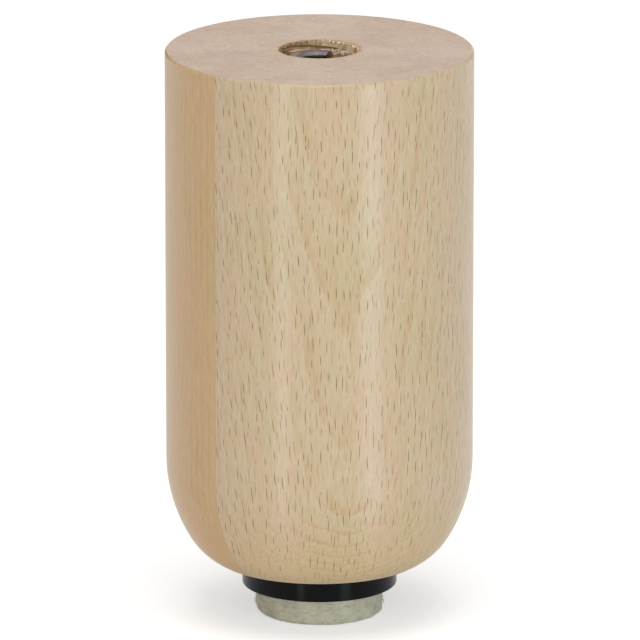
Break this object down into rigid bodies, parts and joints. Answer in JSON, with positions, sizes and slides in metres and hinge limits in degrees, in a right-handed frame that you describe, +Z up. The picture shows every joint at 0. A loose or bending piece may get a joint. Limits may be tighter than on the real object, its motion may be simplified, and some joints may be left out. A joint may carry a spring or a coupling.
{
  "type": "turned wooden furniture leg",
  "caption": "Short round beech furniture leg with a bullet-rounded foot, a slotted M8 threaded insert sunk in its top, and a black plastic glide with a wool felt pad.",
  "frame": {"origin": "centre of the felt pad's underside, on the floor", "axes": "+Z up along the leg's axis, -Y towards the viewer of the picture"},
  "size_m": [0.06, 0.06, 0.1128],
  "materials": {
    "wood": "satin lacquered beech, glued up from two staves",
    "insert": "turned and zinc-plated steel",
    "glide": "satin black moulded plastic",
    "screw": "zinc-plated steel",
    "felt": "pressed wool felt, grey-beige"
  },
  "bodies": {
    "root": {"leg_body": "wood", "threaded_insert": "insert", "glide_cup": "glide", "glide_screw": "screw", "felt_pad": "felt"}
  },
  "joints": []
}
